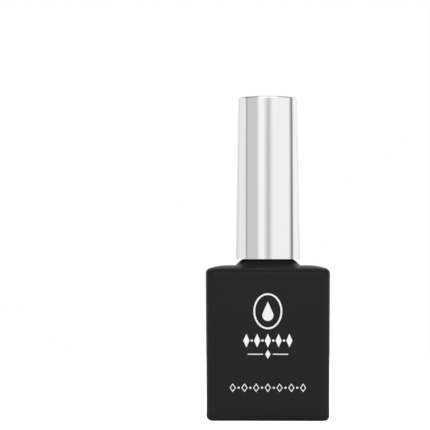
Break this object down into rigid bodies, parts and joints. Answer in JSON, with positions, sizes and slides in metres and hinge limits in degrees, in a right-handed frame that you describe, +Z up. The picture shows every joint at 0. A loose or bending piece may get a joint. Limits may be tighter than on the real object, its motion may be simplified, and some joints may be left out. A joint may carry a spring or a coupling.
{
  "type": "nail polish bottle",
  "caption": "Square matte black gel nail polish bottle with a tall tapered silver cap that unscrews and lifts out with its brush; mixing balls inside.",
  "frame": {"origin": "centre of the base, on the surface that the bottle stands on", "axes": "+Z up along the neck's axis, the printed face looks towards -Y, +X to the right of someone facing it"},
  "size_m": [0.0302, 0.0302, 0.0795],
  "materials": {
    "coated_glass": "pressed glass under an opaque matte black soft-touch coat",
    "gel": "thick glossy coral gel",
    "print_ink": "pale silver screen-print ink",
    "label": "satin sticker",
    "bright_aluminium": "polished and bright anodised",
    "closure_plastic": "moulded black polypropylene",
    "liner_foam": "white foamed polyethylene",
    "stem_plastic": "smooth black polyethylene",
    "filament": "nylon filaments wetted with gel",
    "staple_metal": "plain nickel silver wire",
    "ball_steel": "polished stainless steel"
  },
  "bodies": {
    "root": {"glass_bottle": "coated_glass", "gel_polish": "gel", "front_print": "print_ink", "base_label": "label"},
    "liner": {"seal_liner": "liner_foam"},
    "brush": {"brush_stem": "stem_plastic", "brush_tuft": "filament", "anchor_staple": "staple_metal"},
    "cap": {"overcap": "bright_aluminium", "inner_cap": "closure_plastic"},
    "ball_1": {"mixing_ball_1": "ball_steel"},
    "ball_2": {"mixing_ball_2": "ball_steel"}
  },
  "joints": [
    {"name": "cap_lift", "type": "slide", "parent": "root", "child": "liner", "axis": [0, 0, 1], "range_m": [0, 0.045]},
    {"name": "thread_rise", "type": "slide", "parent": "liner", "child": "brush", "axis": [0, 0, 1], "range_m": [0, 0.00317]},
    {"name": "cap_twist", "type": "hinge", "parent": "brush", "child": "cap", "pos_m": [0, 0, 0.045], "axis": [0, 0, 1], "range_deg": [0, 540]},
    {"name": "ball_1_shake", "type": "slide", "parent": "root", "child": "ball_1", "axis": [0, 0, 1], "range_m": [0, 0.0255]},
    {"name": "ball_2_shake", "type": "slide", "parent": "root", "child": "ball_2", "axis": [0, 0, 1], "range_m": [0, 0.0255]}
  ],
  "couplings": [
    {"joint": "cap_twist", "follows": "thread_rise", "rad_per_m": 2968.4}
  ]
}
